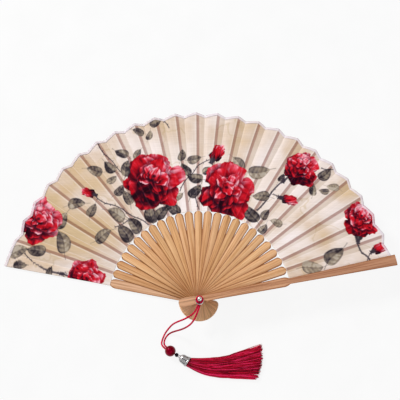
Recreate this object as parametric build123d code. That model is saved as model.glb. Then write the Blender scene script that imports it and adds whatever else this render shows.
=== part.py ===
from build123d import *
import math
import os

# Folding hand fan lying open on its back.
# The pivot axis is +Z through the origin, the floor under the rear guard is z = 0,
# and the leaf opens towards +Y. Lengths are in millimetres and angles in degrees.

# ---- sticks: places -------------------------------------------------------
RIB_COUNT = 23
REAR_GUARD_ANGLE = 169.4      # direction of the bottom stick, counter-clockwise from +X
RIB_SPACING = 6.49            # turn from one rib to the next when the fan is open
FRONT_GUARD_GAP = 7.6         # turn from the last rib to the front guard
STACK_PITCH = 1.0             # height that one rib and its layer of cloth take
GUARD_THICKNESS = 2.4
AIR = 0.03                    # clearance above and below each stick at the pivot

# ---- sticks: outline, measured along (u) and across (v) the stick -----------
HEAD_LENGTH = 19.5            # pivot to the rounded end of the head
HEAD_HALF_WIDTH = 4.0
WAIST_AT = 18.0
WAIST_HALF_WIDTH = 2.95
RIB_SHOULDER_LENGTH = 86.0    # pivot to the rounded end of the wide lower part
RIB_HALF_WIDTH = 4.1
RIB_SHOULDER_RADIUS = 3.6
RIB_STRIP_HALF_WIDTH = 1.45   # the thin upper part that the cloth is glued to
RIB_STRIP_END = 184.5
RIB_STRIP_END_RADIUS = 1.0
RIB_THICKNESS = STACK_PITCH - 2 * AIR
RIB_STRIP_THICKNESS = 0.45
RIB_CROWN_RADIUS = 12.5       # the front of the wide part is rounded
GUARD_HALF_WIDTH = 4.45
GUARD_SHOULDER_START = 80.5
GUARD_NOTCH_AT = 86.0
GUARD_NOTCH_HALF_WIDTH = 2.6
GUARD_LENGTH = 190.0          # pivot to the square-cut tip
GUARD_TIP_HALF_WIDTH = 5.1
REAR_GUARD_LENGTH = 186.5     # the rear guard ends just short of the cloth's edge
GUARD_CROWN_RADIUS = 26.0
GUARD_EDGE_SOFTENING = 0.3

# ---- cloth leaf ---------------------------------------------------------------
LEAF_INNER_RADIUS = 86.3
LEAF_OUTER_RADIUS = 187.0
LEAF_CORNER_RADIUS = 189.4    # the cloth covers the rear guard's end
LEAF_THICKNESS = 0.3
GUARD_LEAF_SEAT = 0.5         # how far each guard's upper part is cut back for the cloth
REAR_EDGE_TURN = 1.7          # the leaf reaches the outer edge of the rear guard
FRONT_EDGE_TURN = 0.8         # and ends hidden under the front guard

# ---- pivot --------------------------------------------------------------------
PIN_RADIUS = 1.2
PIN_HOLE_RADIUS = 1.25
REAR_HEAD_RADIUS = 2.6
REAR_HEAD_POCKET_RADIUS = 2.7
REAR_HEAD_TOP = 0.8
REAR_HEAD_BOTTOM = 0.1
DOME_RADIUS = 2.3
DOME_HEIGHT = 1.8
RING_RADIUS = 3.3
RING_WIRE_RADIUS = 0.5
RING_DROP = 1.5               # the cord pulls the ring this far off the pivot axis

# ---- tassel ---------------------------------------------------------------------
CORD_RADIUS = 0.8
HITCH_RADIUS = 2.8
HITCH_DROP = 0.7
HITCH_LEG_AT = (0.85, -2.9)   # where the loop's two ends go down, to the right and left
BEAD_CENTRE = (-25.6, -47.0)
TASSEL_ANGLE = -30.0          # direction from the beads to the mouth of the cap
TASSEL_AXIS_Z = 5.25
BEAD_RADIUS = 5.1
BEAD_HOLE_RADIUS = 1.8
SPACER_BEAD_RADIUS = 1.9
CORE_RADIUS = 0.5
CORE_HOLE_RADIUS = 0.6
CAP_LENGTH = 10.4
CAP_WALL = 0.6
CAP_PROFILE = [(0.0, 1.3), (1.3, 1.7), (2.6, 3.3), (4.0, 4.1), (9.0, 4.75), (CAP_LENGTH, 5.2)]
SKIRT_ROOT_RADIUS = 3.3
SKIRT_HEIGHT = 9.4
SKIRT_END_HEIGHT = 6.4
SKIRT_FLOOR_GAP = 0.2

# ---- worked-out heights -----------------------------------------------------------
STACK_TOP = GUARD_THICKNESS + RIB_COUNT * STACK_PITCH
GUARD_TOP = STACK_TOP + AIR + GUARD_THICKNESS
CORD_Z = GUARD_TOP + CORD_RADIUS + 0.07
RING_Z = CORD_Z + CORD_RADIUS + RING_WIRE_RADIUS + 0.05
HITCH_Z = RING_Z + RING_WIRE_RADIUS + CORD_RADIUS + 0.05
DOME_BOTTOM = HITCH_Z + CORD_RADIUS + 0.05

# Routes of the two cord strands: from the hitch, over the edge of the stick heads,
# down to the floor and up into the hole of the bead.
LEFT_ROUTE = [
    (-0.85, -3.80, CORD_Z),
    (-1.95, -7.60, CORD_Z + 0.10),
    (-4.10, -12.00, CORD_Z + 0.25),
    (-8.60, -15.90, CORD_Z + 0.50),
    (-14.30, -18.90, CORD_Z + 0.85),
    (-20.00, -20.90, 25.80),
    (-24.30, -22.90, 16.50),
    (-27.80, -26.30, 6.20),
    (-31.20, -30.90, 1.20),
    (-33.30, -36.10, 0.95),
    (-34.40, -41.00, 2.60),
    (-31.08, -44.82, TASSEL_AXIS_Z),
    (-26.03, -47.74, TASSEL_AXIS_Z),
]
RIGHT_ROUTE = [
    (0.85, -3.80, CORD_Z),
    (-0.15, -7.40, CORD_Z + 0.10),
    (-1.75, -12.20, CORD_Z + 0.25),
    (-3.70, -17.30, CORD_Z + 0.50),
    (-6.90, -22.40, CORD_Z + 0.85),
    (-11.40, -25.60, 24.00),
    (-16.20, -27.50, 14.00),
    (-21.60, -28.60, 4.60),
    (-26.90, -30.60, 1.10),
    (-30.40, -34.40, 0.95),
    (-32.00, -39.40, 2.20),
    (-30.70, -43.07, TASSEL_AXIS_Z),
    (-25.18, -46.26, TASSEL_AXIS_Z),
]


def save(part, name):
    part.label = name
    export_step(part, os.path.join("parts", name + ".step"))


def placed(part, angle, height=0.0):
    """A stick or cloth panel modelled along +X, turned to its place in the open fan."""
    return Rot(0, 0, angle) * Pos(0, 0, height) * part


def rib_angle(number):
    return REAR_GUARD_ANGLE - RIB_SPACING * number


FRONT_GUARD_ANGLE = rib_angle(RIB_COUNT) - FRONT_GUARD_GAP


def head_edges(side):
    """Edge of the head, from its widest place to the waist, as two tangent arcs."""
    wide = (HEAD_HALF_WIDTH - HEAD_LENGTH, side * HEAD_HALF_WIDTH)
    waist = (WAIST_AT, side * WAIST_HALF_WIDTH)
    middle = ((wide[0] + waist[0]) / 2, (wide[1] + waist[1]) / 2)
    return [
        TangentArc([wide, middle], tangent=(1, 0)),
        TangentArc([waist, middle], tangent=(-1, 0)),
    ]


def head_end():
    edge_at = HEAD_HALF_WIDTH - HEAD_LENGTH
    return ThreePointArc((edge_at, HEAD_HALF_WIDTH), (-HEAD_LENGTH, 0), (edge_at, -HEAD_HALF_WIDTH))


def wide_face_of_rib():
    """Outline of a rib's head and wide lower part, closed by its rounded shoulder."""
    corner_at = RIB_SHOULDER_LENGTH - RIB_SHOULDER_RADIUS
    centre_v = RIB_HALF_WIDTH - RIB_SHOULDER_RADIUS
    mid = RIB_SHOULDER_RADIUS * math.sqrt(0.5)
    edges = [head_end()]
    for side in (1, -1):
        widest = (corner_at, side * RIB_HALF_WIDTH)
        end = (RIB_SHOULDER_LENGTH, side * centre_v)
        edges += head_edges(side)
        edges.append(Line((WAIST_AT, side * WAIST_HALF_WIDTH), widest))
        edges.append(ThreePointArc(widest, (corner_at + mid, side * (centre_v + mid)), end))
    edges.append(Line((RIB_SHOULDER_LENGTH, centre_v), (RIB_SHOULDER_LENGTH, -centre_v)))
    return make_face(Wire.combine([e.edge() for e in edges])[0])


def face_of_guard(length):
    """Outline of a guard: head, wide lower part, notch, and a blade widening to its tip."""
    edges = [head_end()]
    for side in (1, -1):
        shoulder = (GUARD_SHOULDER_START, side * GUARD_HALF_WIDTH)
        notch = (GUARD_NOTCH_AT, side * GUARD_NOTCH_HALF_WIDTH)
        edges += head_edges(side)
        edges.append(Line((WAIST_AT, side * WAIST_HALF_WIDTH), shoulder))
        edges.append(TangentArc([shoulder, notch], tangent=(1, 0)))
        edges.append(Line(notch, (length, side * GUARD_TIP_HALF_WIDTH)))
    edges.append(Line((length, GUARD_TIP_HALF_WIDTH), (length, -GUARD_TIP_HALF_WIDTH)))
    return make_face(Wire.combine([e.edge() for e in edges])[0])


def crown(radius, top):
    """A long cylinder along the stick whose upper side is the rounded front face."""
    length = 2 * GUARD_LENGTH + 40
    return Pos(0, 0, top - radius) * Rot(0, 90, 0) * Cylinder(radius, length)


def pin_hole(height):
    return Pos(0, 0, height / 2) * Cylinder(PIN_HOLE_RADIUS, height + 2)


def make_rib():
    """One inner rib: a crowned wide lower part and a thin flat strip behind the cloth."""
    wide = extrude(wide_face_of_rib(), RIB_THICKNESS) & crown(RIB_CROWN_RADIUS, RIB_THICKNESS)
    length = RIB_STRIP_END - RIB_SHOULDER_LENGTH + 4
    centre = RIB_STRIP_END - length / 2
    strip = Box(length, 2 * RIB_STRIP_HALF_WIDTH, RIB_STRIP_THICKNESS)
    strip = Pos(centre, 0, RIB_STRIP_THICKNESS / 2) * strip
    ends = strip.edges().filter_by(Axis.Z).group_by(Axis.X)[-1]
    strip = fillet(ends, RIB_STRIP_END_RADIUS)
    return wide + strip - pin_hole(RIB_THICKNESS)


def make_rear_guard():
    """Bottom guard: flat back that the fan rests on, seat for the cloth, pocket for the rivet's head."""
    guard = extrude(face_of_guard(REAR_GUARD_LENGTH), GUARD_THICKNESS)
    guard = chamfer(guard.faces().sort_by(Axis.Z)[0].edges(), GUARD_EDGE_SOFTENING)
    seat_length = GUARD_LENGTH - GUARD_NOTCH_AT + 4
    seat_centre = (GUARD_NOTCH_AT + seat_length / 2, 0, GUARD_THICKNESS - GUARD_LEAF_SEAT / 2)
    guard -= Pos(*seat_centre) * Box(seat_length, 4 * GUARD_TIP_HALF_WIDTH, GUARD_LEAF_SEAT)
    guard -= Pos(0, 0, REAR_HEAD_TOP / 2) * Cylinder(REAR_HEAD_POCKET_RADIUS, REAR_HEAD_TOP)
    return guard - pin_hole(GUARD_THICKNESS)


def make_front_guard():
    """Top guard: crowned front, with its underside cut back over the cloth."""
    guard = extrude(face_of_guard(GUARD_LENGTH), GUARD_THICKNESS)
    guard &= crown(GUARD_CROWN_RADIUS, GUARD_THICKNESS)
    seat_length = GUARD_LENGTH - GUARD_NOTCH_AT + 4
    seat_centre = (GUARD_NOTCH_AT + seat_length / 2, 0, GUARD_LEAF_SEAT / 2)
    guard -= Pos(*seat_centre) * Box(seat_length, 4 * GUARD_TIP_HALF_WIDTH, GUARD_LEAF_SEAT)
    return guard - pin_hole(GUARD_THICKNESS)


def make_leaf_panel(from_angle, to_angle, bottom, outer_radius=LEAF_OUTER_RADIUS):
    """The cloth between two directions, as a thin flat sector glued to one stick."""
    radial = outer_radius - LEAF_INNER_RADIUS
    centre = ((outer_radius + LEAF_INNER_RADIUS) / 2, bottom + LEAF_THICKNESS / 2)
    section = Plane.XZ * Pos(*centre) * Rectangle(radial, LEAF_THICKNESS)
    return Rot(0, 0, from_angle) * revolve(section, Axis.Z, to_angle - from_angle)


def make_pivot_rivet():
    """One rivet through the whole stack: countersunk rear head, shank and front dome."""
    shank_length = DOME_BOTTOM - REAR_HEAD_BOTTOM
    head_height = REAR_HEAD_TOP - REAR_HEAD_BOTTOM
    rivet = Pos(0, 0, REAR_HEAD_BOTTOM + shank_length / 2) * Cylinder(PIN_RADIUS, shank_length)
    rivet += Pos(0, 0, REAR_HEAD_BOTTOM + head_height / 2) * Cylinder(REAR_HEAD_RADIUS, head_height)
    sphere_radius = (DOME_RADIUS**2 + DOME_HEIGHT**2) / (2 * DOME_HEIGHT)
    sphere = Pos(0, 0, DOME_BOTTOM + DOME_HEIGHT - sphere_radius) * Sphere(sphere_radius)
    above = Pos(0, 0, DOME_BOTTOM + DOME_HEIGHT / 2) * Cylinder(2 * DOME_RADIUS, DOME_HEIGHT)
    return rivet + (sphere & above)


def make_rivet_ring():
    """Loose wire ring round the rivet's neck, lying on the two cord strands."""
    return Pos(0, -RING_DROP, RING_Z) * Torus(RING_RADIUS, RING_WIRE_RADIUS)


def make_cord_hitch():
    """The loop of cord round the rivet's neck, with the two ends that go down through the ring."""
    loop = Pos(0, -HITCH_DROP, HITCH_Z) * Torus(HITCH_RADIUS, CORD_RADIUS)
    leg_height = HITCH_Z - CORD_Z + CORD_RADIUS
    for side in (1, -1):
        leg_at = (side * HITCH_LEG_AT[0], HITCH_LEG_AT[1], CORD_Z - CORD_RADIUS + leg_height / 2)
        loop += Pos(*leg_at) * Cylinder(CORD_RADIUS, leg_height)
    return loop


def corner_radii(route):
    """Largest tangent arcs that the runs leave room for, and the turn at each corner."""
    points = [Vector(*p) for p in route]
    radii = []
    turns = []
    for before, corner, after in zip(points, points[1:], points[2:]):
        first = corner - before
        second = after - corner
        turn = first.get_angle(second)
        turns.append(turn)
        radii.append(0.45 * min(first.length, second.length) / math.tan(math.radians(turn / 2)))
    return radii, turns


def make_cord(route, name):
    """A tube along straight runs and tangent arcs. Prints what it measures."""
    radii, turns = corner_radii(route)
    path = FilletPolyline(*route, radius=radii)
    section = Plane(origin=path @ 0, z_dir=path % 0) * Circle(CORD_RADIUS)
    tube = sweep(section, path)
    expected = math.pi * CORD_RADIUS**2 * path.length
    runs = [(Vector(*b) - Vector(*a)).length for a, b in zip(route, route[1:])]
    print(name, "length", round(path.length, 1), "radius", CORD_RADIUS)
    print("  volume", round(tube.volume, 1), "expected", round(expected, 1))
    print("  runs", [round(r, 1) for r in runs])
    print("  arc radii", [round(r, 1) for r in radii], "turns", [round(t) for t in turns])
    return tube


def on_tassel_axis(part, distance):
    """A part modelled along +Z, laid on the tassel's axis this far from the bead's centre."""
    turn = math.radians(TASSEL_ANGLE)
    x = BEAD_CENTRE[0] + distance * math.cos(turn)
    y = BEAD_CENTRE[1] + distance * math.sin(turn)
    return Pos(x, y, TASSEL_AXIS_Z) * Rot(0, 0, TASSEL_ANGLE) * Rot(0, 90, 0) * part


SPACER_AT = BEAD_RADIUS + SPACER_BEAD_RADIUS + 0.02
CAP_AT = SPACER_AT + SPACER_BEAD_RADIUS + 0.05
ROOT_AT = CAP_AT + 4.2


def make_tassel_bead():
    hole = Cylinder(BEAD_HOLE_RADIUS, 3 * BEAD_RADIUS)
    return on_tassel_axis(Sphere(BEAD_RADIUS) - hole, 0)


def make_spacer_bead():
    hole = Cylinder(CORE_HOLE_RADIUS, 3 * SPACER_BEAD_RADIUS)
    return on_tassel_axis(Sphere(SPACER_BEAD_RADIUS) - hole, SPACER_AT)


def make_tassel_cap():
    """A bell-shaped metal shell, open at its mouth, with an eye for the core cord."""
    outer = [(radius, at) for at, radius in CAP_PROFILE]
    inner = [(radius - CAP_WALL, at) for at, radius in CAP_PROFILE[3:]]
    profile = outer + inner[::-1] + [(CORE_HOLE_RADIUS, CAP_PROFILE[2][0]), (CORE_HOLE_RADIUS, 0)]
    section = make_face(Plane.XZ * Polyline(*profile, close=True))
    return on_tassel_axis(revolve(section, Axis.Z), CAP_AT)


def make_core_cord():
    """The short inner cord that strings the beads and the cap to the bound threads."""
    start = 0.6
    length = ROOT_AT - start
    return on_tassel_axis(Pos(0, 0, length / 2) * Cylinder(CORE_RADIUS, length), start)


def make_tassel_skirt():
    """The threads: a bound root inside the cap, and a flattened brush that lies on the floor."""
    turn = math.radians(TASSEL_ANGLE)
    along = Vector(math.cos(turn), math.sin(turn))
    across = Vector(-math.sin(turn), math.cos(turn))
    mouth = Vector(*BEAD_CENTRE) + along * (CAP_AT + CAP_LENGTH + 0.15)
    upper = mouth + across * 4.3
    lower = mouth - across * 4.3
    upper_end = Vector(59.6, -39.6)
    lower_end = Vector(56.0, -70.5)
    edges = [
        ThreePointArc(upper, (25.3, -50.4), upper_end),
        ThreePointArc(upper_end, (61.8, -55.6), lower_end),
        ThreePointArc(lower_end, (20.0, -70.0), lower),
        Line(lower, upper),
    ]
    outline = make_face(Wire.combine([e.edge() for e in edges])[0])
    brush = Pos(0, 0, SKIRT_FLOOR_GAP) * extrude(outline, SKIRT_HEIGHT)
    fall = math.degrees(math.atan((SKIRT_HEIGHT - SKIRT_END_HEIGHT) / (upper_end.X - mouth.X)))
    lid = Rot(0, fall, 0) * Pos(0, 0, 10) * Box(200, 100, 20)
    lid = Pos(mouth.X, mouth.Y, SKIRT_FLOOR_GAP + SKIRT_HEIGHT) * lid
    root_length = CAP_AT + CAP_LENGTH + 1.5 - ROOT_AT
    root = Pos(0, 0, root_length / 2) * Cylinder(SKIRT_ROOT_RADIUS, root_length)
    return (brush - lid) + on_tassel_axis(root, ROOT_AT)


def save_sticks():
    save(placed(make_rear_guard(), REAR_GUARD_ANGLE), "rear_guard")
    rib = make_rib()
    for number in range(1, RIB_COUNT + 1):
        bottom = GUARD_THICKNESS + (number - 1) * STACK_PITCH + AIR
        save(placed(rib, rib_angle(number), bottom), f"rib_{number:02d}")
    save(placed(make_front_guard(), FRONT_GUARD_ANGLE, STACK_TOP + AIR), "front_guard")


def save_leaf():
    """Each panel reaches half-way to the next stick on either side and lies on its own stick."""
    half = RIB_SPACING / 2
    rear = make_leaf_panel(-half, REAR_EDGE_TURN, GUARD_THICKNESS - GUARD_LEAF_SEAT, LEAF_CORNER_RADIUS)
    save(placed(rear, REAR_GUARD_ANGLE), "leaf_panel_00")
    for number in range(1, RIB_COUNT + 1):
        clockwise = FRONT_GUARD_GAP / 2 if number == RIB_COUNT else half
        bottom = GUARD_THICKNESS + (number - 1) * STACK_PITCH + AIR + RIB_STRIP_THICKNESS
        panel = make_leaf_panel(-clockwise, half, bottom)
        save(placed(panel, rib_angle(number)), f"leaf_panel_{number:02d}")
    seat = STACK_TOP + AIR + GUARD_LEAF_SEAT - LEAF_THICKNESS
    front = make_leaf_panel(-FRONT_EDGE_TURN, FRONT_GUARD_GAP / 2, seat)
    save(placed(front, FRONT_GUARD_ANGLE), f"leaf_panel_{RIB_COUNT + 1:02d}")


def save_pivot():
    save(make_pivot_rivet(), "pivot_rivet")
    save(make_rivet_ring(), "rivet_ring")


def save_tassel():
    save(make_cord_hitch(), "cord_hitch")
    save(make_cord(LEFT_ROUTE, "cord_strand_left"), "cord_strand_left")
    save(make_cord(RIGHT_ROUTE, "cord_strand_right"), "cord_strand_right")
    save(make_tassel_bead(), "tassel_bead")
    save(make_spacer_bead(), "tassel_spacer_bead")
    save(make_tassel_cap(), "tassel_cap")
    save(make_core_cord(), "tassel_core_cord")
    save(make_tassel_skirt(), "tassel_skirt")


os.makedirs("parts", exist_ok=True)
save_sticks()
save_leaf()
save_pivot()
save_tassel()
print("top of the front guard", round(GUARD_TOP, 2), "top of the dome", round(DOME_BOTTOM + DOME_HEIGHT, 2))
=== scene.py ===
import math

import bpy
import numpy as np
from mathutils import Matrix, Vector


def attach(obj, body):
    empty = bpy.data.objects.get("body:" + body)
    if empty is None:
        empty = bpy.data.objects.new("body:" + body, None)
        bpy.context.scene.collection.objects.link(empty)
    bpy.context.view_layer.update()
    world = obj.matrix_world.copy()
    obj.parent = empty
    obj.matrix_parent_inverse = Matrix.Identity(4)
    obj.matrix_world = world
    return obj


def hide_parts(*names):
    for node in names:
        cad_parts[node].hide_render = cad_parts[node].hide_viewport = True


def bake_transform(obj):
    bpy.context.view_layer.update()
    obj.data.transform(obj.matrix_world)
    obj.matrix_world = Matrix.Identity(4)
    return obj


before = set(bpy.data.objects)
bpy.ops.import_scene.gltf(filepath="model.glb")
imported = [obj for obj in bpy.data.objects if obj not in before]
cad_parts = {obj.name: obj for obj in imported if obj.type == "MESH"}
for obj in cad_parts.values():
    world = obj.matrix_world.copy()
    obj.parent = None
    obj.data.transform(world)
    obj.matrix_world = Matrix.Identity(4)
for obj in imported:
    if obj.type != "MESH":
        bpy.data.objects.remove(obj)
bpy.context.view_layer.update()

# Open folding fan on a pale floor. Lengths are in metres, angles in degrees and turns in radians.
# The pivot axis is +Z through the origin and the leaf opens towards +Y.
MM = 0.001

# ---- sticks: the same places as in the CAD model ----
RIB_COUNT = 23
FRONT = RIB_COUNT + 1
REAR_GUARD_ANGLE = 169.4
RIB_SPACING = 6.49
FRONT_GUARD_GAP = 7.6
STACK_PITCH = 1.0 * MM
REAR_SEAT_HEIGHT = 1.9 * MM
FIRST_STRIP_TOP = 2.88 * MM
FRONT_CLOTH_HEIGHT = 25.63 * MM
STRIP_HALF_WIDTH = 1.45 * MM
CREST_ARC = STRIP_HALF_WIDTH + 0.5 * MM
BLADE_NOTCH_AT = 86.0 * MM
BLADE_NOTCH_HALF_WIDTH = 2.8 * MM
FRONT_BLADE_TIP_AT = 190.0 * MM
REAR_BLADE_TIP_AT = 186.5 * MM
BLADE_TIP_HALF_WIDTH = 5.3 * MM

# ---- cloth leaf ----
INNER_RADIUS = 86.3 * MM
PEAK_RADIUS = 187.5 * MM
VALLEY_RADIUS = 184.0 * MM
CORNER_RADIUS = 189.6 * MM
VALLEY_TURN = math.radians(2.3)
REAR_EDGE_TURN = math.radians(1.7)
FRONT_EDGE_TURN = math.radians(0.8)
PLEAT_DEPTH = 0.8 * MM
PLEAT_START_RADIUS = 100.0 * MM
MIDDLE_RISE = 0.27
STRAIGHT_SHARE = 0.35
CLOTH_THICKNESS = 0.2 * MM
CLOTH_LIFT = 0.03 * MM
RADIAL_STEPS = 190

# ---- pivot and tassel ----
CORD_RADIUS = 0.8 * MM
BEAD_CENTRE = Vector((-25.6, -47.0, 5.25)) * MM
TASSEL_ANGLE = -30.0
CAP_AT = 8.97 * MM


def stick_angle(number):
    """Direction of a stick: 0 is the rear guard, 1 to 23 the ribs, 24 the front guard."""
    if number == FRONT:
        return REAR_GUARD_ANGLE - RIB_SPACING * RIB_COUNT - FRONT_GUARD_GAP
    return REAR_GUARD_ANGLE - RIB_SPACING * number


def stick_body(number):
    if number == 0:
        return "rear_guard"
    if number == FRONT:
        return "front_guard"
    return f"rib_{number:02d}"


def polar(angle, radius):
    turn = math.radians(angle)
    return Vector((radius * math.cos(turn), radius * math.sin(turn), 0.0))


# ---- small helpers ----
def add_object(name, data):
    obj = bpy.data.objects.new(name, data)
    bpy.context.scene.collection.objects.link(obj)
    return obj


def make_camera():
    """Looks down on the fan, a little from the tassel's side."""
    data = bpy.data.cameras.new("camera")
    data.sensor_width = 36.0
    data.lens = 60.3
    data.clip_start = 0.01
    camera = add_object("camera", data)
    camera.location = (-0.0222, -0.0504, 0.650)
    camera.rotation_euler = [math.radians(a) for a in (13.01, -2.18, 1.11)]
    bpy.context.scene.camera = camera


def mesh_object(name, points, faces, material):
    mesh = bpy.data.meshes.new(name)
    mesh.from_pydata([tuple(p) for p in points], [], faces)
    mesh.update()
    mesh.shade_smooth()
    mesh.materials.append(material)
    return add_object(name, mesh)


def float_layer(obj, name, values):
    layer = obj.data.attributes.new(name, "FLOAT", "POINT")
    layer.data.foreach_set("value", np.array(values, np.float32))


def grid_faces(rows, columns):
    faces = []
    for row in range(rows - 1):
        for column in range(columns - 1):
            a = row * columns + column
            faces.append((a, a + columns, a + columns + 1, a + 1))
    return faces


def tube_faces(rings, sides, start=0):
    """Faces of a closed tube of rings of points, with an end face on the first ring and on the last."""
    faces = []
    for ring in range(rings - 1):
        for side in range(sides):
            a = start + ring * sides + side
            b = start + ring * sides + (side + 1) % sides
            faces.append((a, a + sides, b + sides, b))
    last = start + (rings - 1) * sides
    faces.append(tuple(range(start, start + sides)))
    faces.append(tuple(reversed(range(last, last + sides))))
    return faces


def cord_tube(name, points, material):
    """A round cord along one smooth open spline, shaped by its control points."""
    data = bpy.data.curves.new(name, "CURVE")
    data.dimensions = "3D"
    data.bevel_depth = CORD_RADIUS
    data.bevel_resolution = 5
    data.resolution_u = 16
    data.use_fill_caps = True
    spline = data.splines.new("NURBS")
    spline.points.add(len(points) - 1)
    for place, point in zip(spline.points, points):
        place.co = (*point, 1.0)
    spline.order_u = 3
    spline.use_endpoint_u = True
    data.materials.append(material)
    return add_object(name, data)


def srgb_to_linear(value):
    value = np.asarray(value, float)
    return np.where(value <= 0.04045, value / 12.92, ((value + 0.055) / 1.055) ** 2.4)


def rgb(red, green, blue):
    """A colour from 0 to 255 steps, as linear RGBA."""
    return (*srgb_to_linear([red / 255, green / 255, blue / 255]), 1.0)


def grey(value):
    return (value, value, value, 1.0)


def ease(low, high, value):
    """0 at low and 1 at high, with a smooth start and end."""
    share = np.clip((value - low) / (high - low), 0.0, 1.0)
    return share * share * (3.0 - 2.0 * share)


# ---- material helpers ----
class Nodes:
    """Short calls that build the node tree of a material or the world."""

    def __init__(self, owner, shader, **settings):
        owner.use_nodes = True
        self.owner = owner
        self.tree = owner.node_tree
        self.shader = self.tree.nodes[shader]
        for socket, value in settings.items():
            self.shader.inputs[socket.replace("_", " ")].default_value = value

    def feed(self, value, target):
        """Links another node's output to a socket, or sets the socket to a plain value."""
        if hasattr(value, "is_linked"):
            self.tree.links.new(value, target)
        else:
            target.default_value = value

    def add(self, kind, inputs=None, **settings):
        node = self.tree.nodes.new(kind)
        for key, value in settings.items():
            setattr(node, key, value)
        for socket, value in (inputs or {}).items():
            self.feed(value, node.inputs[socket])
        return node

    def split(self, vector):
        return self.add("ShaderNodeSeparateXYZ", {"Vector": vector}).outputs

    def attribute(self, name, output="Fac"):
        return self.add("ShaderNodeAttribute", attribute_name=name).outputs[output]

    def coordinates(self, turn=0.0, scale=(1.0, 1.0, 1.0), shift=(0.0, 0.0, 0.0), source="Object"):
        """Coordinates turned into a stick's own direction, then multiplied by scale."""
        places = {
            "Vector": self.add("ShaderNodeTexCoord").outputs[source],
            "Rotation": (0.0, 0.0, math.radians(turn)),
            "Scale": [1.0 / s for s in scale],
            "Location": shift,
        }
        return self.add("ShaderNodeMapping", places, vector_type="TEXTURE").outputs["Vector"]

    def noise(self, vector, scale=1.0, detail=3.0, roughness=0.5, distortion=0.0):
        grain = {"Scale": scale, "Detail": detail, "Roughness": roughness, "Distortion": distortion}
        return self.add("ShaderNodeTexNoise", {"Vector": vector, **grain}).outputs["Fac"]

    def ramp(self, value, stops):
        node = self.add("ShaderNodeValToRGB", {"Fac": value})
        elements = node.color_ramp.elements
        while len(elements) < len(stops):
            elements.new(0.5)
        for element, (position, colour) in zip(elements, stops):
            element.position = position
            element.color = colour
        return node.outputs["Color"]

    def mix(self, factor, first, second, blend="MIX"):
        node = self.add("ShaderNodeMix", data_type="RGBA", blend_type=blend)
        for socket, value in (("Factor", factor), ("A", first), ("B", second)):
            self.feed(value, [s for s in node.inputs if s.name == socket and s.enabled][0])
        return [s for s in node.outputs if s.enabled][0]

    def span(self, value, low, high, to_low=0.0, to_high=1.0):
        limits = {"From Min": low, "From Max": high, "To Min": to_low, "To Max": to_high}
        return self.add("ShaderNodeMapRange", {"Value": value, **limits}).outputs["Result"]

    def math(self, operation, *values):
        node = self.add("ShaderNodeMath", operation=operation)
        for target, value in zip(node.inputs, values):
            self.feed(value, target)
        return node.outputs["Value"]

    def bump(self, height, strength, distance):
        relief = {"Height": height, "Strength": strength, "Distance": distance}
        self.into(self.add("ShaderNodeBump", relief).outputs["Normal"], "Normal")

    def into(self, source, socket):
        self.feed(source, self.shader.inputs[socket])


def surface(name, **settings):
    return Nodes(bpy.data.materials.new(name), "Principled BSDF", **settings)


# ---- wood: tones along a stick and one finish for each kind of stick ----
# Where the painted shade towards the pivot begins and where it is deepest.
TOWARDS_PIVOT = (62 * MM, 12 * MM)
INTO_HEAD = (2 * MM, -4 * MM)
PAST_SHOULDER = (78 * MM, 94 * MM)
SHOULDER_BROWN = rgb(134, 84, 66)

# widths: places along the stick and its half widths there, in mm. tones: light, middle, dark, and a
# scorched tone that also paints the shade on the sticks' edges and sides.
# lift: how much more red, green and blue all of it has.
HANDLE_WIDTHS = [(-19.5, 2.6), (-15.5, 4.0), (0.0, 3.55), (18.0, 2.95)]
RIB_WOOD = {
    "widths": HANDLE_WIDTHS + [(82.4, 4.1), (86.0, 2.0), (88.0, 1.45)],
    "tones": (rgb(226, 182, 138), rgb(208, 156, 108), rgb(158, 104, 58), rgb(134, 76, 30)),
    # The rib heads' tone is lighter than their body: painted light where the stack shades the heads.
    "head_tone_and_painted_light": rgb(255, 206, 158),
    # How much painted shade darkens a rib towards the pivot.
    "pivot_painted_shade": 0.45,
}
REAR_GUARD_WOOD = {
    "widths": HANDLE_WIDTHS + [(80.5, 4.45), (86.0, 2.6), (190.0, 5.1)],
    "tones": (rgb(208, 160, 124), rgb(186, 135, 100), rgb(144, 94, 62), rgb(138, 80, 32)),
    "head_tone_and_painted_light": rgb(206, 158, 122),
    "pivot_painted_shade": 0.1,
    "lift": (1.20, 1.36, 1.52),
}
FRONT_GUARD_WOOD = {**REAR_GUARD_WOOD, "blade_depth": 0.34, "lift": (1.12, 1.12, 1.14)}


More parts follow.
